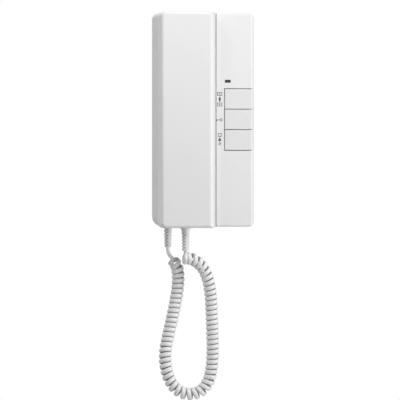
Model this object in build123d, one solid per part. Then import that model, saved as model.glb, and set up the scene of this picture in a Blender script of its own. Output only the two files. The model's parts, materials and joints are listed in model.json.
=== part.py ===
from build123d import *
from math import ceil, cos, pi, sin, sqrt
import os

# A wall intercom station: a base case, a handset lying on its left side, three push buttons
# that wrap round its right edge, and a curly cord. All lengths are in millimetres.
# +X is to the right of a person who faces it, +Y goes into the wall and +Z is up.
# The origin is the middle of the wall bracket's back face. A "depth" is a distance out from the wall.

# The two shells of the base
base_width = 96.0
base_height = 206.0
base_depth = 30.0
base_wall = 2.2
base_top_left_radius = 5.0
base_bottom_left_radius = 10.0
base_right_radius = 6.0
base_edge_radius = 1.6
base_right_rounding = 4.5
rear_depth = 6.0
rear_inset = 0.6
rear_wall = 2.0
wall_gap = 0.3
seam_gap = 0.2
lip_height = 2.5
lip_thickness = 1.2
lip_clearance = 0.2

# The handset
handset_width = 53.95
cradle_inset = 26.1
handset_height = 207.0
handset_depth = 19.5
handset_gap = 0.5
handset_wall = 2.2
handset_back_thickness = 2.0
handset_edge_radius = 2.5
handset_right_rounding = 7.5
handset_top_left_radius = 5.0
handset_bottom_left_radius = 5.0
handset_right_radius = 3.4

# The cradle in the front of the base
groove_width = 1.5
groove_deep = 3.0
groove_share = 0.35
ear_z = 62.0
ear_well_radius = 23.0
mouth_z = -68.0
mouth_well_radius = 20.0
well_depth = 9.0
cup_clearance = 1.6
ear_cup_radius = 21.0
mouth_cup_radius = 17.0
cup_wall = 2.0

# The wall bracket
bracket_width = 70.0
bracket_height = 112.0
bracket_thickness = 1.2
bracket_corner = 4.0
wire_opening_width = 34.0
wire_opening_low = -26.0
wire_opening_high = 30.0
screw_slot_spacing = 83.5
screw_slot_radius = 2.3
screw_slot_length = 9.0
screw_head_relief = 6.5
hook_x = 26.0
hook_levels = (18.0, -36.0)
hook_width = 8.0
hook_rise = 5.0
hook_clearance = 0.3
slot_clearance = 0.4

# The fasteners
screw_radius = 1.5
screw_fit = 0.05
screw_head_radius = 3.0
screw_head_height = 2.0
boss_wall = 2.2
case_screw_inset_x = 6.8
case_screw_inset_z = 10.0
case_screw_bite = 10.0
screw_column_depth = 9.0
screw_web = 2.0
boss_gap = 0.2

# The circuit board and what stands on it
board_margin = 6.0
board_height = 120.0
board_thickness = 1.6
board_recess = 17.0
board_screw_inset = 6.0
board_screw_level = 42.0
transformer_share = 0.5
transformer_height = 15.0
transformer_depth = 10.0
transformer_z = -22.0
capacitor_radius = 3.0
capacitor_length = 9.0
capacitor_levels = (0.0, 10.0, 20.0)
plug_width = 8.0
plug_height = 6.0
plug_depth = 4.4
terminal_width = 32.0
terminal_height = 11.0
terminal_low = 15.0
terminal_depth = 4.4
terminal_count = 4
terminal_screw_radius = 1.9
terminal_screw_length = 3.0
terminal_fit = 0.1
terminal_wire_radius = 1.2
terminal_wire_depth = 6.0

# The three push buttons, from the top down
button_levels = (30.2, 10.4, -9.3, -29.3)
button_reach = 30.2
button_gap = 0.7
button_wall = 1.8
button_skirt = 1.2
button_skirt_drop = 6.0
button_wrap = 10.0
button_travel = 1.2
button_stand = 0.3
button_edge = 0.35
guide_pin_radius = 1.5
guide_pin_inset = 6.0
guide_fit = 0.1
snap_overlap = 0.6
snap_height = 0.7
snap_gap = 0.3
actuator_radius = 2.2
actuator_clearance = 0.7
carrier_thickness = 1.6
carrier_drop = 10.4
carrier_margin = 5.0
carrier_inset = 1.8
carrier_start = 1.6
stake_radius = 1.2
post_radius = 2.2
stake_head = 0.9
dome_height = 3.6
dome_foot_radius = 5.0
dome_foot_height = 0.8
dome_shoulder_radius = 3.6
dome_top_radius = 2.4
dome_skin = 0.6

# The indicator
window_inset = 26.9
window_z = 37.3
window_width = 5.6
window_height = 2.6
window_proud = 0.1
window_fit = 0.1
pipe_flange = 1.0
pipe_flange_thickness = 1.2
pipe_length = 7.6
led_radius = 1.5
led_flange_radius = 1.9
led_flange_height = 1.0
led_gap = 0.4

# The call-tone loudspeaker
speaker_z = -20.0
speaker_radius = 18.0
speaker_rim_height = 2.4
speaker_rim_width = 2.0
speaker_skin = 0.8
magnet_radius = 9.0
magnet_drop = 12.0
magnet_height = 4.0
cone_skin = 0.5
cone_rise = 1.0
speaker_screw_overlap = 0.8
chime_slot_count = 5
chime_slot_width = 2.0
chime_slot_length = 20.0
chime_slot_pitch = 5.0

# The hook plunger that the handset holds down
plunger_z = 18.0
plunger_radius = 2.5
plunger_fit = 0.1
plunger_flange_radius = 6.0
plunger_flange_thickness = 1.5
plunger_flange_drop = 10.0
plunger_foot_radius = 1.5
plunger_tip_gap = 0.3
sleeve_wall = 1.9
sleeve_length = 5.0
hook_switch_size = 6.0
hook_switch_height = 3.5
hook_button_radius = 1.2
hook_button_height = 0.5
spring_radius = 5.0
spring_wire = 0.6
spring_turns = 3

# The two strain-relief boots
base_boot_inset = 13.0
base_boot_drop = 14.0
base_boot_length = 19.5
handset_boot_inset = 25.3
handset_boot_gap = 0.35
handset_boot_length = 22.0
boot_top_radius = 3.9
boot_tip_radius = 3.25
boot_neck_radius = 3.0
boot_neck_fit = 0.1
boot_flange_radius = 4.4
boot_flange_thickness = 1.8
boot_play = 0.2
boot_collar_radius = 5.0
boot_collar_height = 1.2
boot_slot_pitch = 3.0
boot_slot_width = 0.9
boot_slot_core = 1.3
boot_slot_back_core = 2.5
boot_slot_turn = 15.0
base_boot_slots = 6
base_boot_slot_first = 2.4
handset_boot_slots = 5
handset_boot_slot_first = 7.0

# The cord
cord_wire = 3.4
curl_radius = 4.5
curl_pitch = 4.74
curl_ease_turns = 0.5
curl_open_share = 0.85
cord_lead_radius = 1.6
lead_bend = 4.0
points_per_turn = 24
curl_lead_steps = 3
curl_end_radius = 3.4
curl_end_turns = 1.0

# The parts inside the handset
gasket_thickness = 1.2
gasket_width = 4.0
receiver_radius = 17.0
receiver_thickness = 9.0
receiver_edge = 0.8
receiver_step = 2.0
sound_hole_radius = 1.1
sound_ring_radius = 6.5
sound_hole_count = 6
microphone_radius = 4.85
microphone_length = 6.5
holder_wall = 3.0
holder_length = 8.5
weight_width = 22.0
weight_height = 30.0
weight_thickness = 10.0
weight_z = -19.0
weight_shift = 5.1
handset_screw_levels = (4.0, -42.0)
handset_screw_bite = 12.0
handset_lead_inset = 13.95

# The printed marks beside the buttons
mark_thickness = 0.1
mark_inset = 34.9
mark_line = 0.5
mark_width = 4.8
mark_small = 3.4
call_mark_top = 26.7
call_mark_low = 13.2
arrow_size = 2.5
arrow_spread = 1.5
key_mark_z = 0.1
key_bow_radius = 1.4
key_length = 3.6
light_mark_top = -12.9
light_mark_step = 3.9
lamp_ray_tilt = 60.0

# One overrun serves every cut
over = 1.0
near = 0.1
straight_limit = 0.000001

base_left = -base_width / 2
base_right = base_width / 2
base_low = -base_height / 2
base_high = base_height / 2
handset_left = base_left
handset_right = handset_left + handset_width
handset_high = base_high
handset_low = handset_high - handset_height
cradle_x = handset_left + cradle_inset
handset_back_depth = base_depth + handset_gap
handset_seam_depth = handset_back_depth + handset_back_thickness
handset_front_depth = base_depth + handset_depth
front_inner_depth = base_depth - base_wall
front_low_depth = rear_depth + seam_gap
rear_back_depth = bracket_thickness + wall_gap
rear_floor_depth = rear_back_depth + rear_wall
board_width = base_width - 2 * board_margin
board_depth = base_depth - board_recess
board_front_depth = board_depth + board_thickness
well_floor_depth = base_depth - well_depth
magnet_depth = base_depth - magnet_drop
plunger_flange_depth = base_depth - plunger_flange_drop
sleeve_depth = base_depth - sleeve_length
button_left = base_right - button_reach
button_skirt_depth = base_depth - button_skirt_drop
button_wrap_depth = base_depth - button_wrap
carrier_left = button_left + carrier_start
component_room = carrier_left - cradle_x - speaker_radius
component_x = cradle_x + speaker_radius + component_room / 2
transformer_width = component_room * transformer_share
carrier_depth = base_depth - carrier_drop
window_x = base_right - window_inset
pipe_depth = base_depth - pipe_length
mark_x = base_right - mark_inset
base_boot_x = base_left + base_boot_inset
base_boot_depth = base_depth - base_boot_drop
handset_boot_x = handset_left + handset_boot_inset
handset_boot_depth = handset_seam_depth + lip_height + boot_flange_radius + handset_boot_gap
handset_lead_x = handset_right - handset_lead_inset
weight_x = cradle_x - weight_shift
cup_face_depth = well_floor_depth + cup_clearance
button_face_depth = base_depth + button_stand
button_inner_depth = button_face_depth - button_wall
actuator_x = (button_left + base_right) / 2
carrier_front_depth = carrier_depth + carrier_thickness
case_screw_places = [
    (base_left + case_screw_inset_x, base_high - case_screw_inset_z),
    (base_left + case_screw_inset_x, base_low + case_screw_inset_z),
    (base_right - case_screw_inset_x, base_high - case_screw_inset_z),
    (base_right - case_screw_inset_x, base_low + case_screw_inset_z),
]
board_screw_places = [
    (side * (board_width / 2 - board_screw_inset), level * board_screw_level)
    for side in (-1, 1)
    for level in (-1, 1)
]
speaker_screw_radius = screw_head_radius + speaker_screw_overlap
speaker_screw_reach = speaker_radius + screw_head_radius
speaker_screw_places = [
    (cradle_x, speaker_z + side * speaker_screw_reach) for side in (-1, 1)
]
stake_levels = (
    button_levels[0] + carrier_margin / 2,
    button_levels[-1] - carrier_margin / 2,
)
stake_columns = (
    carrier_left + post_radius,
    base_right - base_wall - carrier_inset - post_radius,
)
guide_columns = (button_left + guide_pin_inset, base_right - guide_pin_inset)


def slab(x0, x1, d0, d1, z0, z1):
    """A block from its limits across, out from the wall, and up."""
    return Pos((x0 + x1) / 2, -(d0 + d1) / 2, (z0 + z1) / 2) * Box(x1 - x0, d1 - d0, z1 - z0)


def rod(x, z, radius, d0, d1):
    """A round bar that points out from the wall."""
    return Pos(x, -(d0 + d1) / 2, z) * Rot(90, 0, 0) * Cylinder(radius, d1 - d0)


def post(x, depth, radius, z0, z1):
    """A round bar that stands upright."""
    return Pos(x, -depth, (z0 + z1) / 2) * Cylinder(radius, z1 - z0)


def turned(x, z, depth, points):
    """A turned piece on an axis out from the wall, from (radius, distance out) points."""
    profile = Plane.XZ * make_face(Polyline(*points, close=True))
    solid = revolve(profile, Axis.Z)
    return Pos(x, -depth, z) * Rot(90, 0, 0) * solid


def cornered(x0, x1, z0, z1, top_left, top_right, bottom_left, bottom_right):
    """An upright rectangle whose four corners have radii of their own."""
    face = make_face(Polyline((x0, z0), (x1, z0), (x1, z1), (x0, z1), close=True))
    corners = (
        (x0, z1, top_left),
        (x1, z1, top_right),
        (x0, z0, bottom_left),
        (x1, z0, bottom_right),
    )
    for x, z, radius in corners:
        face = fillet(face.vertices().sort_by_distance((x, z, 0))[0], radius)
    return face


def prism(face, d0, d1):
    """An upright outline carried out from depth d0 to depth d1."""
    return extrude(Pos(0, -d0, 0) * (Plane.XZ * face), amount=d1 - d0)


def housing(limits, radii, d0, d1, edge_radius, right_rounding):
    """A case with filleted front edges and a larger rounding along its right front edge."""
    x0, x1, z0, z1 = limits
    solid = prism(cornered(x0, x1, z0, z1, *radii), d0, d1)
    solid = fillet(solid.faces().sort_by(Axis.Y)[0].edges(), edge_radius)
    section = make_face(Polyline((x0 - over, -d0), (x1, -d0), (x1, -d1), (x0 - over, -d1), close=True))
    section = fillet(section.vertices().sort_by_distance((x1, -d1, 0))[0], right_rounding)
    return solid & extrude(Pos(0, 0, z0 - over) * section, amount=z1 - z0 + 2 * over)


def base_form(inset, d0, d1):
    """The outer form of the base, drawn in by an inset all round but not at the front."""
    limits = (base_left + inset, base_right - inset, base_low + inset, base_high - inset)
    radii = (
        max(base_top_left_radius - inset, base_edge_radius),
        base_right_radius - inset,
        base_bottom_left_radius - inset,
        base_right_radius - inset,
    )
    return housing(limits, radii, d0, d1, base_edge_radius, base_right_rounding - inset / 2)


def base_plan(inset):
    """The upright outline of the base, drawn in by an inset."""
    return cornered(
        base_left + inset,
        base_right - inset,
        base_low + inset,
        base_high - inset,
        base_top_left_radius - inset / 2,
        base_right_radius - inset,
        base_bottom_left_radius - inset,
        base_right_radius - inset,
    )


def handset_form(inset, d0, d1):
    """The outer form of the handset, drawn in by an inset all round but not at the front."""
    limits = (handset_left + inset, handset_right - inset, handset_low + inset, handset_high - inset)
    radii = (
        handset_top_left_radius - inset / 2,
        handset_right_radius - inset / 2,
        handset_bottom_left_radius - inset,
        handset_right_radius - inset / 2,
    )
    edge = handset_edge_radius - inset
    return housing(limits, radii, d0, d1, edge, handset_right_rounding - inset)


def handset_plan(inset):
    """The upright outline of the handset, drawn in by an inset."""
    return cornered(
        handset_left + inset,
        handset_right - inset,
        handset_low + inset,
        handset_high - inset,
        handset_top_left_radius - inset / 2,
        handset_right_radius - inset / 2,
        handset_bottom_left_radius - inset,
        handset_right_radius - inset / 2,
    )


def slot_face(x, z, radius, length):
    """An upright slot with round ends."""
    return Pos(x, z, 0) * Rot(0, 0, 90) * SlotOverall(length, 2 * radius)


def wall_bracket():
    """A sheet-steel plate with a wire opening, two screw slots and four upturned hooks."""
    plate = RectangleRounded(bracket_width, bracket_height, bracket_corner)
    middle = (wire_opening_low + wire_opening_high) / 2
    opening_height = wire_opening_high - wire_opening_low
    plate -= Pos(0, middle, 0) * RectangleRounded(wire_opening_width, opening_height, bracket_corner)
    for side in (-1, 1):
        plate -= slot_face(0, side * screw_slot_spacing / 2, screw_slot_radius, screw_slot_length)
    solid = prism(plate, 0, bracket_thickness)
    tongue = rear_floor_depth + hook_clearance
    for side in (-1, 1):
        for level in hook_levels:
            x0 = side * hook_x - hook_width / 2
            x1 = side * hook_x + hook_width / 2
            stem = slab(x0, x1, 0, tongue + bracket_thickness, level, level + bracket_thickness)
            finger = slab(x0, x1, tongue, tongue + bracket_thickness, level, level + hook_rise)
            solid += stem + finger
    return solid


def rear_case():
    """The back shell: floor, rim, lip, screw columns and board standoffs."""
    rim = prism(base_plan(rear_inset), wall_gap, rear_depth)
    rim -= prism(base_plan(rear_inset + rear_wall), wall_gap - over, rear_back_depth)
    rim -= prism(base_plan(rear_inset + rear_wall), rear_floor_depth, rear_depth + over)
    lip_inset = base_wall + lip_clearance
    lip = prism(base_plan(lip_inset), rear_floor_depth, rear_depth + lip_height)
    lip_inside = base_plan(lip_inset + lip_thickness)
    lip -= prism(lip_inside, rear_floor_depth - over, rear_depth + lip_height + over)
    solid = rim + lip
    for x, z in case_screw_places:
        solid += rod(x, z, screw_head_radius + boss_wall / 2, rear_back_depth, screw_column_depth)
    for x, z in board_screw_places:
        solid += rod(x, z, screw_radius + boss_wall, rear_floor_depth, board_depth)
    for x, z in case_screw_places:
        solid -= rod(x, z, screw_head_radius + boss_gap, wall_gap - over, screw_column_depth - screw_web)
        solid -= rod(x, z, screw_radius + boss_gap, wall_gap - over, screw_column_depth + over)
    for x, z in board_screw_places:
        solid -= rod(x, z, screw_radius + screw_fit, rear_floor_depth, board_depth + over)
    half = wire_opening_width / 2
    solid -= slab(-half, half, 0, rear_floor_depth + over, wire_opening_low, wire_opening_high)
    for side in (-1, 1):
        relief_z = side * screw_slot_spacing / 2
        solid -= rod(0, relief_z, screw_head_relief, 0, rear_floor_depth + over)
        for level in hook_levels:
            x0 = side * hook_x - hook_width / 2 - slot_clearance
            x1 = side * hook_x + hook_width / 2 + slot_clearance
            low = level - hook_rise - slot_clearance
            high = level + bracket_thickness + slot_clearance / 2
            solid -= slab(x0, x1, 0, rear_floor_depth + over, low, high)
    neck = boot_neck_radius + boot_neck_fit
    return solid - post(base_boot_x, base_boot_depth, neck, base_low - over, base_low + lip_height)


def well(x, z, radius):
    """A round cup let into the front of the base, and the space inside it."""
    cup = rod(x, z, radius + cup_wall, well_floor_depth - cup_wall, front_inner_depth)
    space = rod(x, z, radius, well_floor_depth, base_depth + over)
    return cup, space


def front_case():
    """The front shell: its skin, wells, window, slots, bosses and posts."""
    solid = base_form(0, front_low_depth, base_depth)
    solid -= base_form(base_wall, front_low_depth - over, front_inner_depth)
    for x, z in case_screw_places:
        boss = rod(x, z, screw_radius + boss_wall, screw_column_depth + boss_gap, front_inner_depth)
        solid += boss
    cups = [well(cradle_x, ear_z, ear_well_radius), well(cradle_x, mouth_z, mouth_well_radius)]
    for cup, space in cups:
        solid += cup
    # The groove between the cradle and the panel has a wall of its own behind it.
    groove_left = handset_right + handset_right_rounding * groove_share
    groove_right = groove_left + groove_width
    solid += slab(
        groove_left - base_wall,
        groove_right + base_wall,
        base_depth - groove_deep - base_wall,
        front_inner_depth,
        base_low + base_wall / 2,
        base_high - base_wall / 2,
    )
    sleeve_radius = plunger_radius + plunger_fit + sleeve_wall
    solid += rod(cradle_x, plunger_z, sleeve_radius, sleeve_depth, front_inner_depth)
    rim_back = front_inner_depth - speaker_rim_height
    for x, z in speaker_screw_places:
        solid += rod(x, z, screw_head_radius - boss_gap, rim_back, front_inner_depth)
    for x in stake_columns:
        for z in stake_levels:
            solid += rod(x, z, post_radius, carrier_front_depth, front_inner_depth)
            solid += rod(x, z, stake_radius, carrier_depth - boss_gap, carrier_front_depth)
            solid += rod(x, z, post_radius, carrier_depth - boss_gap - stake_head, carrier_depth - boss_gap)
    for cup, space in cups:
        solid -= space
    solid -= slab(
        groove_left, groove_right, base_depth - groove_deep, base_depth + over,
        base_low - over, base_high + over,
    )
    for x, z in case_screw_places:
        top = screw_column_depth + case_screw_bite
        solid -= rod(x, z, screw_radius + screw_fit, front_low_depth, top)
    for x, z in speaker_screw_places:
        solid -= rod(x, z, screw_radius + screw_fit, rim_back - over, front_inner_depth + base_wall / 2)
    solid -= rod(cradle_x, plunger_z, plunger_radius + plunger_fit, sleeve_depth - over, base_depth + over)
    first = -(chime_slot_count - 1) / 2
    for row in range(chime_slot_count):
        z = speaker_z + (first + row) * chime_slot_pitch
        slot = Pos(cradle_x, z, 0) * SlotOverall(chime_slot_length, chime_slot_width)
        solid -= prism(slot, front_inner_depth - over, base_depth + over)
    side_low = button_wrap_depth - button_travel - button_gap
    window_low = button_levels[-1] - button_gap / 2
    window_high = button_levels[0] + button_gap / 2
    solid -= slab(
        button_left - button_gap / 2, base_right - base_wall - over,
        front_inner_depth - over, base_depth + over, window_low, window_high,
    )
    solid -= slab(
        base_right - base_wall - over, base_right + over,
        side_low, base_depth + over, window_low, window_high,
    )
    half_wide = window_width / 2 + window_fit
    half_high = window_height / 2 + window_fit
    solid -= slab(
        window_x - half_wide, window_x + half_wide,
        front_inner_depth - over, base_depth + over, window_z - half_high, window_z + half_high,
    )
    neck = boot_neck_radius + boot_neck_fit
    return solid - post(base_boot_x, base_boot_depth, neck, base_low - over, base_low + base_wall + over)


def screw(x, z, head_radius, head_depth, tip_depth, outward):
    """A cap screw. Its head lies on the wall side where it points outward."""
    if outward:
        head = rod(x, z, head_radius, head_depth - screw_head_height, head_depth)
    else:
        head = rod(x, z, head_radius, head_depth, head_depth + screw_head_height)
    shaft = rod(x, z, screw_radius, min(head_depth, tip_depth), max(head_depth, tip_depth))
    return head + shaft


def case_screws():
    """The screws that draw the two shells of the base together."""
    seat = screw_column_depth - screw_web
    tip = screw_column_depth + case_screw_bite - screw_head_height
    return [screw(x, z, screw_head_radius, seat, tip, True) for x, z in case_screw_places]


def main_board():
    """The circuit board, with a clearance hole at each of its screws."""
    half_wide = board_width / 2
    half_high = board_height / 2
    solid = slab(-half_wide, half_wide, board_depth, board_front_depth, -half_high, half_high)
    for x, z in board_screw_places:
        solid -= rod(x, z, screw_radius + boss_gap, board_depth - over, board_front_depth + over)
    return solid


def board_screws():
    """The screws that hold the board on its standoffs."""
    tip = rear_floor_depth + over
    return [screw(x, z, screw_head_radius, board_front_depth, tip, False) for x, z in board_screw_places]


def board_components():
    """A transformer, three capacitors and the cord's plug socket, on the board's front."""
    pieces = [
        slab(
            component_x - transformer_width / 2, component_x + transformer_width / 2,
            board_front_depth, board_front_depth + transformer_depth,
            transformer_z - transformer_height / 2, transformer_z + transformer_height / 2,
        )
    ]
    for level in capacitor_levels:
        pieces.append(
            rod(
                component_x, level, capacitor_radius,
                board_front_depth, board_front_depth + capacitor_length,
            )
        )
    pieces.append(
        slab(
            base_boot_x - plug_width / 2, base_boot_x + plug_width / 2,
            board_front_depth, board_front_depth + plug_depth,
            -board_height / 2, -board_height / 2 + plug_height,
        )
    )
    return pieces


def terminal_columns():
    """The places of the terminals across the block."""
    pitch = terminal_width / terminal_count
    first = -pitch * (terminal_count - 1) / 2
    return [first + pitch * place for place in range(terminal_count)]


def terminal_block():
    """The block that takes the wall wires, with its screws facing the wall."""
    half = terminal_width / 2
    top = terminal_low + terminal_height
    middle = (terminal_low + top) / 2
    solid = slab(-half, half, terminal_depth, board_depth, terminal_low, top)
    for x in terminal_columns():
        seat = terminal_depth + terminal_screw_length
        solid -= rod(x, middle, terminal_screw_radius + terminal_fit, terminal_depth - over, seat)
        wire_depth = (seat + board_depth) / 2
        wire_top = terminal_low + terminal_wire_depth
        solid -= post(x, wire_depth, terminal_wire_radius, terminal_low - over, wire_top)
    return solid


def terminal_screws():
    """One slotted screw to a terminal."""
    screws = []
    for x in terminal_columns():
        z = terminal_low + terminal_height / 2
        seat = terminal_depth + terminal_screw_length
        body = rod(x, z, terminal_screw_radius, terminal_depth, seat)
        cut = terminal_screw_radius / 4
        body -= slab(
            x - terminal_screw_radius - over, x + terminal_screw_radius + over,
            terminal_depth - over, terminal_depth + 2 * cut, z - cut, z + cut,
        )
        screws.append(body)
    return screws


def speaker_frame():
    """The basket and magnet of the call-tone loudspeaker, with its rim against the front shell."""
    rim_front = front_inner_depth - magnet_depth
    rim_back = rim_front - speaker_rim_height
    inner = speaker_radius - speaker_rim_width
    return turned(
        cradle_x, speaker_z, magnet_depth,
        [
            (0, 0),
            (magnet_radius, 0),
            (magnet_radius, magnet_height),
            (inner - speaker_skin, rim_back),
            (speaker_radius, rim_back),
            (speaker_radius, rim_front),
            (inner, rim_front),
            (inner, rim_back + speaker_skin),
            (magnet_radius - speaker_skin, magnet_height + speaker_skin),
            (0, magnet_height + speaker_skin),
        ],
    )


def speaker_cone():
    """The loudspeaker's paper cone, glued to the rim and to the middle."""
    rim_front = front_inner_depth - magnet_depth
    rim_back = rim_front - speaker_rim_height
    inner = speaker_radius - speaker_rim_width
    floor = magnet_height + speaker_skin
    return turned(
        cradle_x, speaker_z, magnet_depth,
        [
            (0, floor),
            (magnet_radius / 2, floor),
            (inner, rim_back + speaker_skin + cone_rise),
            (inner, rim_back + speaker_skin + cone_rise + cone_skin),
            (magnet_radius / 2, floor + 2 * cone_skin),
            (0, floor + 2 * cone_skin),
        ],
    )


def speaker_screws():
    """Two screws whose heads clamp the loudspeaker's rim."""
    seat = front_inner_depth - speaker_rim_height
    return [
        screw(x, z, speaker_screw_radius, seat, front_inner_depth, True) for x, z in speaker_screw_places
    ]


def status_led():
    """The indicator lamp, on the board behind its window."""
    flange_top = board_front_depth + led_flange_height
    flange = rod(window_x, window_z, led_flange_radius, board_front_depth, flange_top)
    shoulder = pipe_depth - led_gap - led_radius
    body = rod(window_x, window_z, led_radius, board_front_depth, shoulder)
    dome = Pos(window_x, -shoulder, window_z) * Sphere(led_radius)
    return flange + body + dome


def status_lens():
    """The dark window and the light pipe behind it, with a flange inside the wall."""
    half_wide = window_width / 2
    half_high = window_height / 2
    pipe = slab(
        window_x - half_wide, window_x + half_wide, pipe_depth, base_depth + window_proud,
        window_z - half_high, window_z + half_high,
    )
    flange = slab(
        window_x - half_wide - pipe_flange, window_x + half_wide + pipe_flange,
        front_inner_depth - pipe_flange_thickness, front_inner_depth,
        window_z - half_high - window_fit, window_z + half_high + pipe_flange,
    )
    return pipe + flange


def button_carrier():
    """The plate behind the buttons that guides their pins."""
    x1 = base_right - base_wall - carrier_inset
    solid = slab(
        carrier_left, x1, carrier_depth, carrier_front_depth,
        button_levels[-1] - carrier_margin, button_levels[0] + carrier_margin,
    )
    for high, low in zip(button_levels, button_levels[1:]):
        middle = (high + low) / 2
        solid -= rod(
            actuator_x, middle, actuator_radius + actuator_clearance,
            carrier_depth - over, carrier_front_depth + over,
        )
        for x in guide_columns:
            bore = guide_pin_radius + guide_fit
            solid -= rod(x, middle, bore, carrier_depth - over, carrier_front_depth + over)
    for x in stake_columns:
        for z in stake_levels:
            solid -= rod(x, z, stake_radius + guide_fit, carrier_depth - over, carrier_front_depth + over)
    return solid


def button(high, low):
    """A push button: a hollow cap that wraps round the case's edge, two snap pins and an actuator."""
    top = high - button_gap / 2
    bottom = low + button_gap / 2
    middle = (high + low) / 2
    outer = Pos(0, -button_stand, 0) * base_form(0, front_low_depth, base_depth)
    hollow = base_form(button_wall, front_low_depth - over, button_inner_depth)
    left = button_left + button_gap / 2
    reach = slab(left, base_right + over, button_wrap_depth, button_face_depth + over, bottom, top)
    cap = outer & reach
    front = cap.faces().sort_by(Axis.Y)[0]
    soft = [
        edge for edge in cap.edges()
        if edge.center().Y < -button_wrap_depth - over
        and abs(edge.center().Z - middle) > (top - bottom) / 2 - near
    ]
    soft += front.edges().sort_by(Axis.X)[:1]
    cap = fillet(soft, button_edge)
    cap -= hollow & slab(
        left + button_skirt, base_right, button_wrap_depth - over, button_inner_depth,
        bottom + button_skirt, top - button_skirt,
    )
    # The top, bottom and left skirts are short, and only the right side reaches round the edge.
    cap -= slab(
        button_left, base_right - button_wall, button_wrap_depth - over, button_skirt_depth,
        bottom - over, top + over,
    )
    snap_top = carrier_depth - snap_gap
    for x in guide_columns:
        cap += rod(x, middle, guide_pin_radius, snap_top - snap_height, button_inner_depth)
        cap += rod(x, middle, guide_pin_radius + snap_overlap, snap_top - snap_height, snap_top)
    cap += rod(actuator_x, middle, actuator_radius, board_front_depth + dome_height, button_inner_depth)
    return cap


def button_dome(high, low):
    """A rubber dome on the board, under a button's actuator."""
    return turned(
        actuator_x, (high + low) / 2, board_front_depth,
        [
            (dome_shoulder_radius - dome_skin, 0),
            (dome_foot_radius, 0),
            (dome_foot_radius, dome_foot_height),
            (dome_shoulder_radius, dome_foot_height),
            (dome_top_radius, dome_height - dome_skin),
            (dome_top_radius, dome_height),
            (0, dome_height),
            (0, dome_height - 2 * dome_skin),
            (dome_top_radius - dome_skin, dome_height - 2 * dome_skin),
        ],
    )


def hook_plunger():
    """The pin that the handset holds down, with the flange that its spring lifts."""
    tip = handset_back_depth - plunger_tip_gap
    flange_top = plunger_flange_depth + plunger_flange_thickness
    switch_top = board_front_depth + hook_switch_height + hook_button_height
    pin = rod(cradle_x, plunger_z, plunger_radius, flange_top, tip)
    pin = fillet(pin.faces().sort_by(Axis.Y)[0].edges(), plunger_radius / 2)
    flange = rod(cradle_x, plunger_z, plunger_flange_radius, plunger_flange_depth, flange_top)
    foot = rod(cradle_x, plunger_z, plunger_foot_radius, switch_top + plunger_tip_gap, plunger_flange_depth)
    return pin + flange + foot


def hook_switch():
    """The switch on the board that the plunger holds down."""
    half = hook_switch_size / 2
    top = board_front_depth + hook_switch_height
    left = cradle_x - half
    low = plunger_z - half
    body = slab(left, left + 2 * half, board_front_depth, top, low, low + 2 * half)
    return body + rod(cradle_x, plunger_z, hook_button_radius, top, top + hook_button_height)


def biarc(start, start_way, end, end_way):
    """Two arcs that join at a common tangent, from one point and direction to another."""
    across = end - start
    ways = start_way + end_way
    spread = 2 * (1 - start_way.dot(end_way))
    along = across.dot(ways)
    if spread < straight_limit:
        return [Edge.make_line(start, end)]
    reach = (sqrt(along * along + spread * across.dot(across)) - along) / spread
    middle = (start + start_way * reach + end - end_way * reach) / 2
    middle_way = ((end - end_way * reach) - (start + start_way * reach)).normalized()
    return [
        Edge.make_tangent_arc(start, start_way, middle),
        Edge.make_tangent_arc(middle, middle_way, end),
    ]


def tube(points, ways, radius):
    """A round tube through points that each have a direction, swept along biarcs."""
    edges = []
    for place in range(len(points) - 1):
        edges += biarc(points[place], ways[place], points[place + 1], ways[place + 1])
    path = Wire(edges)
    section = Plane(origin=points[0], z_dir=ways[0]) * Circle(radius)
    return sweep(section, path), path


def hook_spring():
    """The spring round the hook switch, between the board and the plunger's flange."""
    length = plunger_flange_depth - board_front_depth - spring_wire
    points = []
    ways = []
    halves = 2 * spring_turns
    for half in range(halves + 1):
        angle = pi * half
        place = length * half / halves
        points.append(
            Vector(
                cradle_x + spring_radius * cos(angle),
                -(board_front_depth + spring_wire / 2 + place),
                plunger_z - spring_radius * sin(angle),
            )
        )
        rise = length / (halves * pi)
        ways.append(Vector(-spring_radius * sin(angle), -rise, -spring_radius * cos(angle)).normalized())
    solid, path = tube(points, ways, spring_wire / 2)
    return solid


def boot(x, depth, top, length, wall, collar, slots, first):
    """A tapered strain relief with a neck through the case, a flange inside it and slots in its side."""
    body = Pos(x, -depth, top - length / 2) * Cone(boot_tip_radius, boot_top_radius, length)
    for row in range(slots):
        z = top - first - row * boot_slot_pitch
        for side, core in ((-1, boot_slot_core), (1, boot_slot_back_core)):
            cut_z = z - (side + 1) * boot_slot_pitch / 4
            cut = Box(boot_top_radius, 2 * boot_top_radius, boot_slot_width)
            shift = side * (boot_top_radius / 2 + core)
            body -= Pos(x, -depth, cut_z) * Rot(0, 0, boot_slot_turn) * Pos(shift, 0, 0) * cut
    seat = top + wall + boot_play
    body += post(x, depth, boot_neck_radius, top, seat)
    body += post(x, depth, boot_flange_radius, seat, seat + boot_flange_thickness)
    if collar:
        body += post(x, depth, boot_collar_radius, top - boot_collar_height, top)
    return body


def base_cord_boot():
    """The base's strain relief."""
    return boot(
        base_boot_x, base_boot_depth, base_low, base_boot_length, base_wall, False,
        base_boot_slots, base_boot_slot_first,
    )


def handset_cord_boot():
    """The handset's strain relief, with a collar against the shell."""
    return boot(
        handset_boot_x, handset_boot_depth, handset_low, handset_boot_length, handset_wall, True,
        handset_boot_slots, handset_boot_slot_first,
    )


def base_lead():
    """The cord's tail inside the base, from the boot to its socket on the board."""
    low = base_low + base_wall + boot_play + boot_flange_thickness
    return post(base_boot_x, base_boot_depth, cord_lead_radius, low, -board_height / 2)


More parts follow.
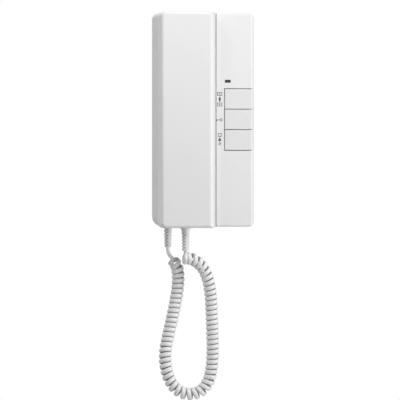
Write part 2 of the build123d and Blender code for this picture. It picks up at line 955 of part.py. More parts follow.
# The route of the cord's middle line, chosen by hand, from the handset's coil end to the base's.
# Each point is (across, out from the wall, up).
cord_route = [
    (-22.7, 35.7, -132.9),
    (-18.8, 35.5, -133.0),
    (-13.3, 34.9, -134.6),
    (-8.0, 34.2, -138.2),
    (-3.5, 33.5, -143.2),
    (-0.1, 32.8, -149.8),
    (2.4, 32.1, -158.0),
    (4.0, 31.4, -168.0),
    (4.9, 30.6, -179.2),
    (5.5, 29.9, -191.0),
    (6.1, 29.4, -203.3),
    (6.5, 29.0, -216.0),
    (6.6, 28.4, -228.6),
    (5.7, 27.6, -240.8),
    (3.2, 26.8, -252.0),
    (-3.6, 26.0, -261.4),
    (-15.2, 25.2, -265.0),
    (-26.4, 24.3, -261.4),
    (-33.6, 23.4, -253.0),
    (-37.4, 22.4, -242.8),
    (-38.8, 21.5, -232.4),
    (-38.4, 20.7, -221.8),
    (-36.2, 19.9, -211.4),
    (-33.4, 19.2, -200.0),
    (-30.5, 18.6, -188.0),
    (-27.9, 18.0, -176.0),
    (-25.9, 17.5, -165.0),
    (-25.0, 17.3, -155.4),
    (-25.3, 17.8, -147.6),
    (-26.7, 18.5, -140.9),
    (-29.5, 19.2, -136.6),
    (-33.4, 19.9, -134.8),
]


def cord_axis():
    """The middle line of the coil, as one smooth curve through the route's points."""
    return Spline(*[Vector(x, -depth, z) for x, depth, z in cord_route])


def curls():
    """The points and directions of the coil, from the handset's end to the base's."""
    axis = cord_axis()
    way = axis.tangent_at(0)
    toward = Vector(0, -1, 0)
    points = []
    place = 0.0
    step = 0
    while place < axis.length:
        centre = axis.position_at(place / axis.length)
        last_way = way
        way = axis.tangent_at(place / axis.length)
        toward = (toward - way * toward.dot(way)).normalized()
        beside = way.cross(toward)
        angle = 2 * pi * step / points_per_turn
        # The last curl at the base draws in.
        left = min(1.0, (axis.length - place) / (curl_end_turns * curl_pitch))
        radius = curl_end_radius + (curl_radius - curl_end_radius) * left
        points.append(centre + (toward * cos(angle) + beside * sin(angle)) * radius)
        # The curls part where the cord bends, and the first half curl winds in from the lead.
        advance = curl_pitch / points_per_turn
        bend = (way - last_way).length / advance
        ease = min(1.0, max(step, 1) / (curl_ease_turns * points_per_turn))
        place += advance * ease * (1 + curl_open_share * curl_radius * bend)
        step += 1
    ways = []
    for step in range(len(points)):
        before = points[max(step - 1, 0)]
        after = points[min(step + 1, len(points) - 1)]
        ways.append((after - before).normalized())
    return points, ways


def curly_cord():
    """The cord between the two boots, as one tube: a lead, the curls and the other lead."""
    points, ways = curls()
    half = points_per_turn // 2
    down = Vector(0, 0, -1)
    up = Vector(0, 0, 1)
    handset_exit = Vector(handset_boot_x, -handset_boot_depth, handset_low - handset_boot_length)
    base_exit = Vector(base_boot_x, -base_boot_depth, base_low - base_boot_length)
    picked = list(range(curl_lead_steps, len(points) - half // 2, half)) + [len(points) - 2]
    path_points = [handset_exit, handset_exit + down * cord_wire]
    path_ways = [down, down]
    path_points += [points[place] for place in picked]
    path_ways += [ways[place] for place in picked]
    path_points += [base_exit + down * cord_wire, base_exit]
    path_ways += [up, up]
    solid, path = tube(path_points, path_ways, cord_wire / 2)
    print("curls", round(len(points) / points_per_turn, 2))
    report_cord(path, solid)
    return solid


def report_cord(path, solid):
    """Prints the cord's length, its tightest bend and its least gap to itself."""
    length = path.length
    count = ceil(length / cord_wire * 4)
    points = [path.position_at(step / count) for step in range(count + 1)]
    far = ceil(count * 2 * pi * curl_radius / 2 / length)
    least = min(
        (points[one] - points[two]).length
        for one in range(0, count + 1, 2)
        for two in range(one + far, min(one + 8 * far, count + 1), 2)
    )
    radii = [edge.radius for edge in path.edges() if edge.geom_type == GeomType.CIRCLE]
    print("cord length", round(length), "tightest bend", round(min(radii), 2), "bends", len(radii))
    print("least gap between curls", round(least - cord_wire, 2))
    print("volume over section times length", round(solid.volume / (pi * cord_wire**2 / 4 * length), 4))


def handset_front():
    """The handset's outer shell, with two screw bosses."""
    solid = handset_form(0, handset_seam_depth, handset_front_depth)
    inner_front = handset_front_depth - handset_wall
    solid -= handset_form(handset_wall, handset_seam_depth - over, inner_front)
    for z in handset_screw_levels:
        solid += rod(cradle_x, z, screw_radius + boss_wall, handset_seam_depth + boss_gap, inner_front)
        solid -= rod(
            cradle_x, z, screw_radius + screw_fit,
            handset_seam_depth, handset_seam_depth + handset_screw_bite,
        )
    neck = boot_neck_radius + boot_neck_fit
    inside = handset_low + handset_wall + over
    return solid - post(handset_boot_x, handset_boot_depth, neck, handset_low - over, inside)


def handset_cup(z, radius):
    """A cup on the back of the handset, and the space inside it."""
    cup = rod(cradle_x, z, radius, cup_face_depth, handset_back_depth)
    space = rod(cradle_x, z, radius - cup_wall, cup_face_depth + cup_wall, handset_seam_depth + over)
    return cup, space


def handset_back():
    """The handset's inner shell, with its ear cup, mouth cup, lip and screw pockets."""
    solid = prism(handset_plan(0), handset_back_depth, handset_seam_depth)
    lip_inset = handset_wall + lip_clearance
    lip = prism(handset_plan(lip_inset), handset_seam_depth, handset_seam_depth + lip_height)
    lip -= prism(
        handset_plan(lip_inset + lip_thickness),
        handset_seam_depth - over, handset_seam_depth + lip_height + over,
    )
    solid += lip
    cups = [handset_cup(ear_z, ear_cup_radius), handset_cup(mouth_z, mouth_cup_radius)]
    for cup, space in cups:
        solid += cup
    for cup, space in cups:
        solid -= space
    for z in handset_screw_levels:
        solid -= rod(
            cradle_x, z, screw_head_radius + boss_gap,
            handset_back_depth - over, handset_back_depth + handset_back_thickness / 2,
        )
        bore = screw_radius + boss_gap
        solid -= rod(cradle_x, z, bore, handset_back_depth - over, handset_seam_depth + over)
    for turn in range(sound_hole_count):
        angle = 2 * pi * turn / sound_hole_count
        x = cradle_x + sound_ring_radius * cos(angle)
        z = ear_z + sound_ring_radius * sin(angle)
        solid -= rod(x, z, sound_hole_radius, cup_face_depth - over, cup_face_depth + cup_wall + over)
    for z in (ear_z, mouth_z):
        hole_end = cup_face_depth + cup_wall + over
        solid -= rod(cradle_x, z, sound_hole_radius, cup_face_depth - over, hole_end)
    return solid


def handset_screws():
    """Two screws that close the handset from behind."""
    seat = handset_back_depth + handset_back_thickness / 2
    tip = handset_seam_depth + handset_screw_bite - over
    screws = []
    for z in handset_screw_levels:
        head = rod(cradle_x, z, screw_head_radius, handset_back_depth, seat)
        screws.append(head + rod(cradle_x, z, screw_radius, seat, tip))
    return screws


def receiver_gasket():
    """A foam ring between the ear cup's floor and the capsule."""
    floor = cup_face_depth + cup_wall
    ring = rod(cradle_x, ear_z, receiver_radius, floor, floor + gasket_thickness)
    hole = receiver_radius - gasket_width
    return ring - rod(cradle_x, ear_z, hole, floor - over, floor + gasket_thickness + over)


def receiver():
    """The earpiece capsule, stepped like a can with a smaller back."""
    front = cup_face_depth + cup_wall + gasket_thickness
    can = rod(cradle_x, ear_z, receiver_radius, front, front + receiver_thickness - receiver_step)
    can = chamfer(can.faces().sort_by(Axis.Y)[-1].edges(), receiver_edge)
    back = rod(
        cradle_x, ear_z, receiver_radius - 2 * receiver_step,
        front + receiver_thickness - receiver_step, front + receiver_thickness,
    )
    return can + back


def microphone_holder():
    """A rubber cup that holds the microphone in the mouth cup."""
    floor = cup_face_depth + cup_wall
    outer = microphone_radius + holder_wall
    cup = rod(cradle_x, mouth_z, outer, floor, floor + holder_length)
    cup -= rod(cradle_x, mouth_z, microphone_radius, floor + over, floor + over + microphone_length)
    return cup - rod(cradle_x, mouth_z, sound_hole_radius, floor - over, floor + holder_length + over)


def microphone():
    """The microphone capsule."""
    front = cup_face_depth + cup_wall + over
    return rod(cradle_x, mouth_z, microphone_radius, front, front + microphone_length)


def handset_weight():
    """The steel slab that makes the handset hold the hook down."""
    return slab(
        weight_x - weight_width / 2, weight_x + weight_width / 2,
        handset_seam_depth, handset_seam_depth + weight_thickness,
        weight_z - weight_height / 2, weight_z + weight_height / 2,
    )


def handset_lead():
    """The cord's tail inside the handset, from the boot up to the back of the earpiece."""
    start = handset_low + handset_wall + boot_play + boot_flange_thickness
    end_depth = cup_face_depth + cup_wall + gasket_thickness + receiver_thickness
    handset_lead_depth = end_depth + boot_play + cord_lead_radius
    route = [
        (handset_boot_x, -handset_boot_depth, start),
        (handset_boot_x, -handset_boot_depth, start + 2 * lead_bend),
        (handset_lead_x, -handset_lead_depth, start + 6 * lead_bend),
        (handset_lead_x, -handset_lead_depth, ear_z - 4 * lead_bend),
        (cradle_x, -handset_lead_depth, ear_z),
    ]
    path = FilletPolyline(*route, radius=lead_bend)
    section = Plane(origin=route[0], z_dir=(0, 0, 1)) * Circle(cord_lead_radius)
    return sweep(section, path)


def frame_mark(x, z, width, height):
    """A printed rectangle outline."""
    face = Pos(x, z, 0) * Rectangle(width, height)
    return face - Pos(x, z, 0) * Rectangle(width - 2 * mark_line, height - 2 * mark_line)


def arrow_mark(x, z, size, upward):
    """A printed solid arrowhead."""
    tip = size / 2 if upward else -size / 2
    return make_face(Polyline((x - size / 2, z - tip), (x + size / 2, z - tip), (x, z + tip), close=True))


def function_marks():
    """Plain printed marks: call between two stations, a key, and a lamp."""
    faces = []
    top = call_mark_top - mark_small / 2
    low = call_mark_low + mark_small / 2
    middle = (top + low) / 2
    for z in (top, low):
        faces.append(frame_mark(mark_x, z, mark_width, mark_small))
        faces.append(Pos(mark_x, z, 0) * Rectangle(mark_line * 2, mark_line * 2))
    shaft = Pos(mark_x, middle, 0) * Rectangle(mark_line * 2, arrow_spread * 2)
    upper = arrow_mark(mark_x, middle + arrow_spread, arrow_size, True)
    lower = arrow_mark(mark_x, middle - arrow_spread, arrow_size, False)
    faces.append(shaft + upper + lower)
    bow_x = mark_x + key_bow_radius
    bow = Pos(bow_x, key_mark_z, 0) * Circle(key_bow_radius)
    bow -= Pos(bow_x, key_mark_z, 0) * Circle(key_bow_radius - mark_line)
    shank_x = mark_x - key_length / 2 + mark_line / 2
    shank = Pos(shank_x, key_mark_z, 0) * Rectangle(key_length, mark_line)
    bit_x = shank_x - key_length / 2 + mark_line
    bit = Pos(bit_x, key_mark_z - mark_line, 0) * Rectangle(2 * mark_line, 3 * mark_line)
    faces.append(bow + shank + bit)
    lamp = light_mark_top - mark_small / 2
    ray = Rectangle(mark_small, mark_line)
    faces.append(frame_mark(mark_x, lamp, mark_small, mark_small))
    faces.append(arrow_mark(mark_x, lamp - light_mark_step, mark_small, True))
    for side in (-1, 1):
        x = mark_x + side * mark_line
        z = lamp - 2 * light_mark_step - (1 + side) * mark_line
        faces.append(Pos(x, z, 0) * Rot(0, 0, lamp_ray_tilt) * ray)
    solids = []
    for face in faces:
        solids += prism(face, base_depth, base_depth + mark_thickness).solids()
    return solids


def write(name, shape):
    """Writes one named piece, which may be a group of separate solids."""
    if isinstance(shape, list):
        shape = Compound(children=[solid for piece in shape for solid in piece.solids()])
    export_step(shape, f"parts/{name}.step")


os.makedirs("parts", exist_ok=True)
for name, make in (
    ("wall_bracket", wall_bracket),
    ("rear_case", rear_case),
    ("front_case", front_case),
    ("case_screws", case_screws),
    ("main_board", main_board),
    ("board_screws", board_screws),
    ("board_components", board_components),
    ("terminal_block", terminal_block),
    ("terminal_screws", terminal_screws),
    ("chime_speaker", speaker_frame),
    ("speaker_cone", speaker_cone),
    ("speaker_screws", speaker_screws),
    ("status_led", status_led),
    ("status_lens", status_lens),
    ("button_carrier", button_carrier),
    ("hook_plunger", hook_plunger),
    ("hook_switch", hook_switch),
    ("hook_spring", hook_spring),
    ("base_cord_boot", base_cord_boot),
    ("base_lead", base_lead),
    ("function_marks", function_marks),
    ("handset_front", handset_front),
    ("handset_back", handset_back),
    ("handset_screws", handset_screws),
    ("receiver_gasket", receiver_gasket),
    ("receiver", receiver),
    ("microphone_holder", microphone_holder),
    ("microphone", microphone),
    ("handset_weight", handset_weight),
    ("handset_cord_boot", handset_cord_boot),
    ("handset_lead", handset_lead),
    ("curly_cord", curly_cord),
):
    write(name, make())
for name, high, low in zip(("talk", "door", "light"), button_levels, button_levels[1:]):
    write(f"{name}_button", button(high, low))
    write(f"{name}_dome", button_dome(high, low))
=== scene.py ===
import json
from math import copysign, cos, pi, radians, sin

import bpy
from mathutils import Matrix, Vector


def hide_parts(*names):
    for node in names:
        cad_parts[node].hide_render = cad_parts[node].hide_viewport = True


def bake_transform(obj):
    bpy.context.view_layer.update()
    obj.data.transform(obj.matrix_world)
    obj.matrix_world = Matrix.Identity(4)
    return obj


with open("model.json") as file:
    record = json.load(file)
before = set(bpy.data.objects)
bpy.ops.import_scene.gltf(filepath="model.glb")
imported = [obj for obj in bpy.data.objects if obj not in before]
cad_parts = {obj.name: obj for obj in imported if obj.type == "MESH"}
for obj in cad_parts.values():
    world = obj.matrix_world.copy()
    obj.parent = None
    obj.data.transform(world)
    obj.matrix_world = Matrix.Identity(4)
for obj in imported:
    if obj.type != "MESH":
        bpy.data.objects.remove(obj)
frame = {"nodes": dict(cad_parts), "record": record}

scene = bpy.context.scene
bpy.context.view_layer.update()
MM = 0.001


def spline_points(points, name):
    """Reads points along the smooth curve that has the given control points, in metres."""
    curve = bpy.data.curves.new(name, "CURVE")
    curve.dimensions = "3D"
    spline = curve.splines.new("NURBS")
    spline.points.add(len(points) - 1)
    for point, place in zip(spline.points, points):
        point.co = (place[0], place[1], place[2], 1.0)
    spline.order_u = 3
    spline.use_endpoint_u = True
    spline.resolution_u = 24
    holder = bpy.data.objects.new(name, curve)
    scene.collection.objects.link(holder)
    bpy.context.view_layer.update()
    mesh = bpy.data.meshes.new_from_object(holder)
    places = [vertex.co.copy() for vertex in mesh.vertices]
    bpy.data.objects.remove(holder)
    bpy.data.curves.remove(curve)
    bpy.data.meshes.remove(mesh)
    return places


class Line:
    """A polyline that is read by the distance along it."""

    def __init__(self, places):
        self.places = places
        self.sums = [0.0]
        for before, after in zip(places, places[1:]):
            self.sums.append(self.sums[-1] + (after - before).length)
        self.length = self.sums[-1]
        self.at_row = 0

    def point(self, distance):
        distance = min(max(distance, 0.0), self.length)
        row = self.at_row
        while row > 0 and self.sums[row] > distance:
            row -= 1
        while row < len(self.sums) - 2 and self.sums[row + 1] < distance:
            row += 1
        self.at_row = row
        span = self.sums[row + 1] - self.sums[row]
        share = (distance - self.sums[row]) / span if span else 0.0
        return self.places[row].lerp(self.places[row + 1], share)

    def way(self, distance, reach):
        low = max(distance - reach, 0.0)
        high = min(distance + reach, self.length)
        return (self.point(high) - self.point(low)).normalized()


# The middle line of the curls, from the handset's end to the base's, in metres.
ROUTE = [
    (-0.0227, -0.0357, -0.1329),
    (-0.0188, -0.0355, -0.1330),
    (-0.0133, -0.0349, -0.1346),
    (-0.0080, -0.0342, -0.1382),
    (-0.0035, -0.0335, -0.1432),
    (-0.0001, -0.0328, -0.1498),
    (0.0024, -0.0321, -0.1580),
    (0.0040, -0.0314, -0.1680),
    (0.0049, -0.0306, -0.1792),
    (0.0055, -0.0299, -0.1910),
    (0.0061, -0.0294, -0.2033),
    (0.0065, -0.0290, -0.2160),
    (0.0066, -0.0284, -0.2286),
    (0.0057, -0.0276, -0.2408),
    (0.0032, -0.0268, -0.2520),
    (-0.0036, -0.0260, -0.2614),
    (-0.0152, -0.0252, -0.2650),
    (-0.0264, -0.0243, -0.2614),
    (-0.0336, -0.0234, -0.2530),
    (-0.0374, -0.0224, -0.2428),
    (-0.0388, -0.0215, -0.2324),
    (-0.0384, -0.0207, -0.2218),
    (-0.0362, -0.0199, -0.2114),
    (-0.0334, -0.0192, -0.2000),
    (-0.0305, -0.0186, -0.1880),
    (-0.0279, -0.0180, -0.1760),
    (-0.0259, -0.0175, -0.1650),
    (-0.0250, -0.0173, -0.1554),
    (-0.0253, -0.0178, -0.1476),
    (-0.0267, -0.0185, -0.1409),
    (-0.0295, -0.0192, -0.1366),
    (-0.0334, -0.0199, -0.1348),
]
HANDSET_EXIT = Vector((-0.0227, -0.03975, -0.1260))
BASE_EXIT = Vector((-0.0350, -0.0160, -0.1225))
LEAD_DOWN = 2.4 * MM
LEAD_UP = 4.4 * MM
FIRST_EASE = 2.4 * MM
LAST_EASE = 4.6 * MM
LEAD_STEP = 0.7 * MM
CURL_RADIUS = 4.6 * MM
CURL_TURNS = 59.29
CURL_END_RADIUS = 2.5 * MM
CURL_END_TURNS = 1.0
CURL_STEPS = 36
CURL_FIRST_STEP = CURL_STEPS * 3 // 24
CURL_PITCH_START = 4.77 * MM
CURL_PITCH_ROUNDS = 6
WAY_REACH = 1.5 * MM
CURL_OPEN = 0.85
CURL_BEND_MAX = 1 / (13 * MM)
EASE_TURNS = 0.5
WIRE_WIDE = 4.45 * MM
WIRE_SQUARE = 0.8
WIRE_THICK = 3.2 * MM
WIRE_ROUND = 3.7 * MM
WIRE_SIDES = 16
WIRE_GROW_TURNS = 0.6
WIRE_GROW_TURNS_LAST = 0.3
# Painted shade on the cord begins where a wire side faces the next curl by more than this share (|sin|
# of the section angle).
PAINTED_SHADE_START = 0.6


def wind(axis, pitch):
    """The curls' points and outward directions along the axis, at the given pitch."""
    toward = Vector((0, -1, 0))
    points = []
    outwards = []
    way = axis.way(0.0, WAY_REACH)
    place = 0.0
    step = 0
    while place < axis.length:
        last_way = way
        way = axis.way(place, WAY_REACH)
        toward = (toward - way * toward.dot(way)).normalized()
        beside = way.cross(toward)
        angle = 2 * pi * step / CURL_STEPS
        outward = toward * cos(angle) + beside * sin(angle)
        # The last curl at the base draws in.
        left = min(1.0, (axis.length - place) / (CURL_END_TURNS * pitch))
        radius = CURL_END_RADIUS + (CURL_RADIUS - CURL_END_RADIUS) * left
        points.append(axis.point(place) + outward * radius)
        outwards.append(outward)
        # The curls part where the cord bends, and the first half curl winds in from the lead.
        advance = pitch / CURL_STEPS
        bend = min((way - last_way).length / advance, CURL_BEND_MAX)
        ease = min(1.0, max(step, 1) / (EASE_TURNS * CURL_STEPS))
        place += advance * ease * (1 + CURL_OPEN * CURL_RADIUS * bend)
        step += 1
    return points, outwards


def curly_path():
    """The whole wire: a lead from each boot, and the curls between them."""
    axis = Line(spline_points(ROUTE, "route"))
    pitch = CURL_PITCH_START
    for attempt in range(CURL_PITCH_ROUNDS):
        points, outwards = wind(axis, pitch)
        pitch *= len(points) / CURL_STEPS / CURL_TURNS
    points = points[CURL_FIRST_STEP:]
    outwards = outwards[CURL_FIRST_STEP:]
    down = Vector((0, 0, -1))
    first_way = (points[1] - points[0]).normalized()
    last_way = (points[-1] - points[-2]).normalized()
    first_lead = spline_points(
        [
            HANDSET_EXIT,
            HANDSET_EXIT + down * LEAD_DOWN,
            points[0] - first_way * FIRST_EASE,
            points[0],
        ],
        "first_lead",
    )
    last_lead = spline_points(
        [
            points[-1],
            points[-1] + last_way * LAST_EASE,
            BASE_EXIT + down * LEAD_UP,
            BASE_EXIT,
        ],
        "last_lead",
    )
    first = Line(first_lead)
    last = Line(last_lead)
    first_count = int(first.length / LEAD_STEP)
    last_count = int(last.length / LEAD_STEP)
    path = [first.point(first.length * row / first_count) for row in range(first_count)]
    path += points
    path += [last.point(last.length * (row + 1) / last_count) for row in range(last_count)]
    return path, outwards, first_count, last_count


def curly_cord():
    """The cord as one smooth tube, flatter in its curls than in its leads."""
    path, outwards, first_count, last_count = curly_path()
    ways = []
    for row in range(len(path)):
        before = path[max(row - 1, 0)]
        after = path[min(row + 1, len(path) - 1)]
        ways.append((after - before).normalized())
    sides = [None] * len(path)
    for row, outward in enumerate(outwards):
        way = ways[first_count + row]
        sides[first_count + row] = (outward - way * outward.dot(way)).normalized()
    for row in range(first_count - 1, -1, -1):
        side = sides[row + 1]
        sides[row] = (side - ways[row] * side.dot(ways[row])).normalized()
    for row in range(first_count + len(outwards), len(path)):
        side = sides[row - 1]
        sides[row] = (side - ways[row] * side.dot(ways[row])).normalized()
    grow = CURL_STEPS * WIRE_GROW_TURNS
    grow_last = CURL_STEPS * WIRE_GROW_TURNS_LAST
    vertices = []
    painted_shade_weights = []
    faces = []
    for row, (place, way, side) in enumerate(zip(path, ways, sides)):
        to_last = first_count + len(outwards) - 1 - row
        into = min((row - first_count) / grow, to_last / grow_last)
        share = min(max(into, 0.0), 1.0)
        share = share * share * (3 - 2 * share)
        wide = (WIRE_ROUND + (WIRE_WIDE - WIRE_ROUND) * share) / 2
        thick = (WIRE_ROUND + (WIRE_THICK - WIRE_ROUND) * share) / 2
        square = 1.0 + (WIRE_SQUARE - 1.0) * share
        across = way.cross(side)
        for turn in range(WIRE_SIDES):
            angle = 2 * pi * turn / WIRE_SIDES
            out = copysign(abs(cos(angle)) ** square, cos(angle)) * thick
            along = copysign(abs(sin(angle)) ** square, sin(angle)) * wide
            vertices.append(place + side * out + across * along)
            # Each vertex's painted-shade weight: highest on the sides facing the neighbouring curls,
            # standing in for the shade between them.
            painted_shade_weights.append(share * max(0.0, abs(sin(angle)) - PAINTED_SHADE_START) / (1 - PAINTED_SHADE_START))
    for row in range(len(path) - 1):
        for turn in range(WIRE_SIDES):
            nxt = (turn + 1) % WIRE_SIDES
            low = row * WIRE_SIDES
            high = low + WIRE_SIDES
            faces.append((low + turn, low + nxt, high + nxt, high + turn))
    faces.append(tuple(reversed(range(WIRE_SIDES))))
    last = (len(path) - 1) * WIRE_SIDES
    faces.append(tuple(last + turn for turn in range(WIRE_SIDES)))
    mesh = bpy.data.meshes.new("cord_tube")
    mesh.from_pydata([tuple(vertex) for vertex in vertices], [], faces)
    # The painted-shade weights go onto the mesh as an attribute that the cord's material reads.
    painted_groove_shade = mesh.attributes.new("painted_groove_shade", "FLOAT", "POINT")
    painted_groove_shade.data.foreach_set("value", painted_shade_weights)
    mesh.update()
    for face in mesh.polygons:
        face.use_smooth = len(face.vertices) == 4
    cord = bpy.data.objects.new("cord_tube", mesh)
    scene.collection.objects.link(cord)
    length = sum((after - before).length for before, after in zip(path, path[1:]))
    print("cord length", round(length, 4), "points", len(path))
    return cord, path, length


class Nodes:
    """Builds one procedural material with few words."""

    def __init__(self, name):
        self.material = bpy.data.materials.new(name)
        self.material.use_nodes = True
        self.tree = self.material.node_tree
        self.shader = self.tree.nodes["Principled BSDF"]
        self.where = self.tree.nodes.new("ShaderNodeTexCoord").outputs["Object"]

    def noise(self, scale, detail=3.0, rough=0.5, stretch=None):
        source = self.where
        if stretch:
            mapping = self.tree.nodes.new("ShaderNodeMapping")
            mapping.inputs["Scale"].default_value = stretch
            self.tree.links.new(source, mapping.inputs["Vector"])
            source = mapping.outputs["Vector"]
        noise = self.tree.nodes.new("ShaderNodeTexNoise")
        noise.inputs["Scale"].default_value = scale
        noise.inputs["Detail"].default_value = detail
        noise.inputs["Roughness"].default_value = rough
        self.tree.links.new(source, noise.inputs["Vector"])
        return noise.outputs["Fac"]

    def spread(self, source, low, high, start=0.3, end=0.7):
        node = self.tree.nodes.new("ShaderNodeMapRange")
        node.inputs["From Min"].default_value = start
        node.inputs["From Max"].default_value = end
        node.inputs["To Min"].default_value = low
        node.inputs["To Max"].default_value = high
        self.tree.links.new(source, node.inputs["Value"])
        return node.outputs["Result"]

    def ramp(self, source, stops):
        node = self.tree.nodes.new("ShaderNodeValToRGB")
        ramp = node.color_ramp
        while len(ramp.elements) < len(stops):
            ramp.elements.new(0.5)
        for element, (place, colour) in zip(ramp.elements, stops):
            element.position = place
            element.color = (*colour, 1.0)
        self.tree.links.new(source, node.inputs["Fac"])
        return node.outputs["Color"]

    def colour(self, source):
        self.tree.links.new(source, self.shader.inputs["Base Color"])
        return self

    def roughness(self, source):
        self.tree.links.new(source, self.shader.inputs["Roughness"])
        return self

    def bump(self, source, depth, strength=1.0, before=None):
        node = self.tree.nodes.new("ShaderNodeBump")
        node.inputs["Strength"].default_value = strength
        node.inputs["Distance"].default_value = depth
        self.tree.links.new(source, node.inputs["Height"])
        if before:
            self.tree.links.new(before, node.inputs["Normal"])
        self.tree.links.new(node.outputs["Normal"], self.shader.inputs["Normal"])
        return node.outputs["Normal"]


def tone(colour, share):
    """The colour, lighter or darker by a share."""
    return tuple(min(1.0, part * share) for part in colour)


def moulded(name, colour, rough, grain):
    """Moulded plastic: faint clouding, a fine spark-eroded grain and a slightly uneven sheen."""
    paint = Nodes(name)
    clouds = paint.noise(14.0, 4.0)
    paint.colour(paint.ramp(clouds, [(0.3, tone(colour, 0.985)), (0.7, tone(colour, 1.01))]))
    paint.roughness(paint.spread(paint.noise(60.0, 5.0), rough - 0.05, rough + 0.05))
    waves = paint.bump(paint.noise(45.0, 1.0), 0.00004, 0.25)
    paint.bump(paint.noise(2600.0, 2.0), grain, 0.5, waves)
    paint.shader.inputs["IOR"].default_value = 1.5
    paint.shader.inputs["Specular IOR Level"].default_value = 0.5
    return paint.material


def metal(name, colour, rough, stretch, grain):
    """Bare or plated metal with a rolled grain and faint spangle."""
    paint = Nodes(name)
    paint.shader.inputs["Metallic"].default_value = 1.0
    spangle = paint.noise(120.0, 2.0)
    paint.colour(paint.ramp(spangle, [(0.3, tone(colour, 0.92)), (0.7, tone(colour, 1.05))]))
    lines = paint.noise(900.0, 3.0, 0.6, stretch)
    paint.roughness(paint.spread(lines, rough - 0.08, rough + 0.1))
    paint.bump(lines, grain, 0.4)
    return paint.material


def soft(name, colour, rough, grain):
    """Rubber or soft vinyl: matt, with a fine uneven skin."""
    paint = Nodes(name)
    clouds = paint.noise(40.0, 4.0)
    paint.colour(paint.ramp(clouds, [(0.3, tone(colour, 0.96)), (0.7, tone(colour, 1.02))]))
    paint.roughness(paint.spread(paint.noise(200.0, 3.0), rough - 0.06, rough + 0.06))
    paint.bump(paint.noise(1400.0, 3.0), grain, 0.5)
    return paint.material


def vinyl(name, colour, rough, grain):
    """The cord's vinyl: a soft sheen, and where neighbouring curls meet a duller skin with painted
    shade that makes the colour greyer and darker.
    """
    paint = Nodes(name)
    attribute = paint.tree.nodes.new("ShaderNodeAttribute")
    attribute.attribute_name = "painted_groove_shade"
    clouds = paint.ramp(paint.noise(60.0, 4.0), [(0.3, tone(colour, 0.97)), (0.7, tone(colour, 1.02))])
    mix = paint.tree.nodes.new("ShaderNodeMix")
    mix.data_type = "RGBA"
    # Painted shade: the colour falls to 0.58 of itself where the wire faces the neighbouring curls.
    paint.tree.links.new(attribute.outputs["Fac"], mix.inputs["Factor"])
    paint.tree.links.new(clouds, mix.inputs[6])
    mix.inputs[7].default_value = (*tone(colour, 0.58), 1.0)
    paint.colour(mix.outputs[2])
    paint.roughness(paint.spread(attribute.outputs["Fac"], rough, 0.8, 0.0, 1.0))
    paint.bump(paint.noise(1400.0, 3.0), grain, 0.4)
    return paint.material


def board_finish(name, colour, track):
    """Solder mask over copper tracks, with faint pads."""
    paint = Nodes(name)
    mapping = paint.tree.nodes.new("ShaderNodeMapping")
    mapping.inputs["Rotation"].default_value = (radians(90), 0, 0)
    paint.tree.links.new(paint.where, mapping.inputs["Vector"])
    bricks = paint.tree.nodes.new("ShaderNodeTexBrick")
    bricks.inputs["Scale"].default_value = 160.0
    bricks.inputs["Mortar Size"].default_value = 0.03
    bricks.inputs["Color1"].default_value = (*colour, 1.0)
    bricks.inputs["Color2"].default_value = (*tone(colour, 1.15), 1.0)
    bricks.inputs["Mortar"].default_value = (*track, 1.0)
    paint.tree.links.new(mapping.outputs["Vector"], bricks.inputs["Vector"])
    paint.colour(bricks.outputs["Color"])
    paint.roughness(paint.spread(paint.noise(90.0, 3.0), 0.25, 0.4))
    paint.bump(bricks.outputs["Fac"], 0.00003, 0.4)
    return paint.material


def pleated(name, colour):
    """Speaker paper with pressed fibres."""
    paint = Nodes(name)
    fibres = paint.noise(700.0, 6.0, 0.7)
    paint.colour(paint.ramp(fibres, [(0.3, tone(colour, 0.7)), (0.7, tone(colour, 1.3))]))
    paint.shader.inputs["Roughness"].default_value = 0.95
    paint.bump(fibres, 0.0001, 0.6)
    return paint.material


def smoked(name, colour):
    """The dark window over the lamp: smooth, with a hint of the lamp's red in its depth."""
    paint = Nodes(name)
    haze = paint.noise(300.0, 2.0)
    paint.colour(paint.ramp(haze, [(0.3, colour), (0.7, tone(colour, 1.4))]))
    paint.roughness(paint.spread(paint.noise(150.0, 2.0), 0.12, 0.2))
    return paint.material


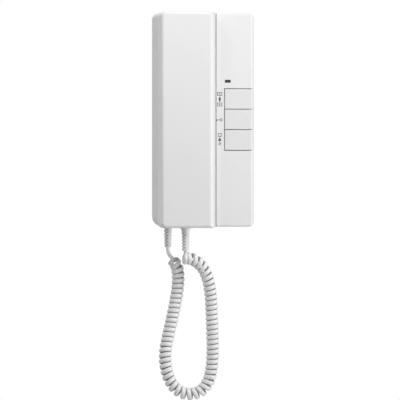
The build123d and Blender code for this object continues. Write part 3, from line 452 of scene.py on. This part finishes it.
CASE = (0.84, 0.84, 0.838)
finishes = {
    "case_white": moulded("case_white", CASE, 0.46, 0.00003),
    "handset_white": moulded("handset_white", CASE, 0.38, 0.00001),
    "button_white": moulded("button_white", (0.8, 0.8, 0.797), 0.44, 0.00002),
    "cord_white": vinyl("cord_white", (0.93, 0.93, 0.928), 0.36, 0.00001),
    "boot_rubber": soft("boot_rubber", (0.8, 0.8, 0.797), 0.5, 0.00002),
    "zinc_steel": metal("zinc_steel", (0.62, 0.63, 0.64), 0.36, (1.0, 1.0, 0.06), 0.00002),
    "screw_steel": metal("screw_steel", (0.58, 0.59, 0.6), 0.3, (1.0, 1.0, 1.0), 0.00001),
    "board_green": board_finish("board_green", (0.03, 0.16, 0.07), (0.07, 0.26, 0.12)),
    "dark_parts": soft("dark_parts", (0.045, 0.045, 0.05), 0.42, 0.00002),
    "terminal_green": moulded("terminal_green", (0.05, 0.28, 0.11), 0.45, 0.00002),
    "terminal_brass": metal("terminal_brass", (0.72, 0.55, 0.27), 0.28, (1.0, 1.0, 1.0), 0.00001),
    "speaker_steel": metal("speaker_steel", (0.34, 0.34, 0.35), 0.45, (1.0, 1.0, 1.0), 0.00002),
    "speaker_paper": pleated("speaker_paper", (0.06, 0.055, 0.05)),
    "led_red": smoked("led_red", (0.45, 0.03, 0.02)),
    "window_smoke": smoked("window_smoke", (0.035, 0.022, 0.02)),
    "dome_rubber": soft("dome_rubber", (0.42, 0.43, 0.44), 0.6, 0.00003),
    "mark_grey": soft("mark_grey", (0.045, 0.045, 0.048), 0.6, 0.00001),
    "capsule_black": soft("capsule_black", (0.05, 0.05, 0.05), 0.5, 0.00002),
    "foam_grey": pleated("foam_grey", (0.12, 0.12, 0.125)),
    "weight_steel": metal("weight_steel", (0.45, 0.45, 0.46), 0.5, (1.0, 1.0, 0.1), 0.00003),
    "spring_steel": metal("spring_steel", (0.7, 0.7, 0.71), 0.22, (1.0, 1.0, 1.0), 0.00001),
}
for subpart in frame["record"]["subparts"]:
    node = frame["nodes"][subpart["node"]]
    node.data.materials.clear()
    node.data.materials.append(finishes[subpart["material_slot"]])

cord, cord_path, cord_length = curly_cord()
cord.data.materials.append(finishes["cord_white"])
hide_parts("curly_cord")
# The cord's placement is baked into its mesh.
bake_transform(cord)

# The camera stands level, a little to the left.
CAMERA_TURN = radians(12.5)
CAMERA_AIM = Vector((-0.00635, -0.030, -0.0772))
CAMERA_AWAY = 3.0
camera_data = bpy.data.cameras.new("camera")
camera_data.sensor_width = 36.0
camera_data.lens = 280.5
camera_data.clip_end = 50.0
camera = bpy.data.objects.new("camera", camera_data)
look_from = Vector((-sin(CAMERA_TURN), -cos(CAMERA_TURN), 0))
camera.location = CAMERA_AIM + look_from * CAMERA_AWAY
camera.rotation_euler = (radians(90), 0, -CAMERA_TURN)
scene.collection.objects.link(camera)
scene.camera = camera


def area_light(name, place, target, size, power):
    """A round lamp at a place, turned to its target."""
    data = bpy.data.lights.new(name, "AREA")
    data.shape = "DISK"
    data.size = size
    data.energy = power
    light = bpy.data.objects.new(name, data)
    light.location = place
    way = Vector(target) - Vector(place)
    light.rotation_euler = way.to_track_quat("-Z", "Y").to_euler()
    scene.collection.objects.link(light)


# Each lamp's name, place, target, width in metres and power in watts.
for lamp in (
    ("top", (0.0, -0.4, 0.6), (0, -0.03, 0.1), 0.3, 2.54),
    ("right", (0.8, -0.6, -0.1), (0, -0.03, -0.1), 0.5, 4.59),
    ("left_top", (-0.35, -0.35, 0.38), (-0.03, -0.03, 0.08), 0.2, 0.63),
    ("left", (-0.8, -0.1, 0.0), (-0.05, -0.03, 0.0), 0.5, 0.59),
):
    area_light(*lamp)

# The background is white to the camera and in reflections, and gives less light than it shows.
WORLD_LIGHT = 0.21
world = bpy.data.worlds.new("studio")
world.use_nodes = True
tree = world.node_tree
background = tree.nodes["Background"]
rays = tree.nodes.new("ShaderNodeLightPath")
seen = tree.nodes.new("ShaderNodeMath")
seen.operation = "MAXIMUM"
tree.links.new(rays.outputs["Is Camera Ray"], seen.inputs[0])
tree.links.new(rays.outputs["Is Glossy Ray"], seen.inputs[1])
seen_too = tree.nodes.new("ShaderNodeMath")
seen_too.operation = "MAXIMUM"
tree.links.new(seen.outputs[0], seen_too.inputs[0])
tree.links.new(rays.outputs["Is Transmission Ray"], seen_too.inputs[1])
level = tree.nodes.new("ShaderNodeMapRange")
level.inputs["To Min"].default_value = WORLD_LIGHT
level.inputs["To Max"].default_value = 1.0
tree.links.new(seen_too.outputs[0], level.inputs["Value"])
background.inputs["Color"].default_value = (1.0, 1.0, 1.0, 1.0)
tree.links.new(level.outputs["Result"], background.inputs["Strength"])
scene.world = world

FLOOR_REACH = 1.3
FLOOR_LEVEL = -0.45
floor_mesh = bpy.data.meshes.new("floor")
floor_mesh.from_pydata(
    [(x * FLOOR_REACH, y * FLOOR_REACH, FLOOR_LEVEL) for x, y in ((-1, -1), (1, -1), (1, 1), (-1, 1))],
    [],
    [(0, 1, 2, 3)],
)
floor = bpy.data.objects.new("floor", floor_mesh)
scene.collection.objects.link(floor)
paper = Nodes("floor_paper")
paper.colour(paper.ramp(paper.noise(3.0, 3.0), [(0.3, (0.8, 0.8, 0.8)), (0.7, (0.84, 0.84, 0.84))]))
paper.shader.inputs["Roughness"].default_value = 0.9
floor_mesh.materials.append(paper.material)

scene.view_settings.view_transform = "Standard"
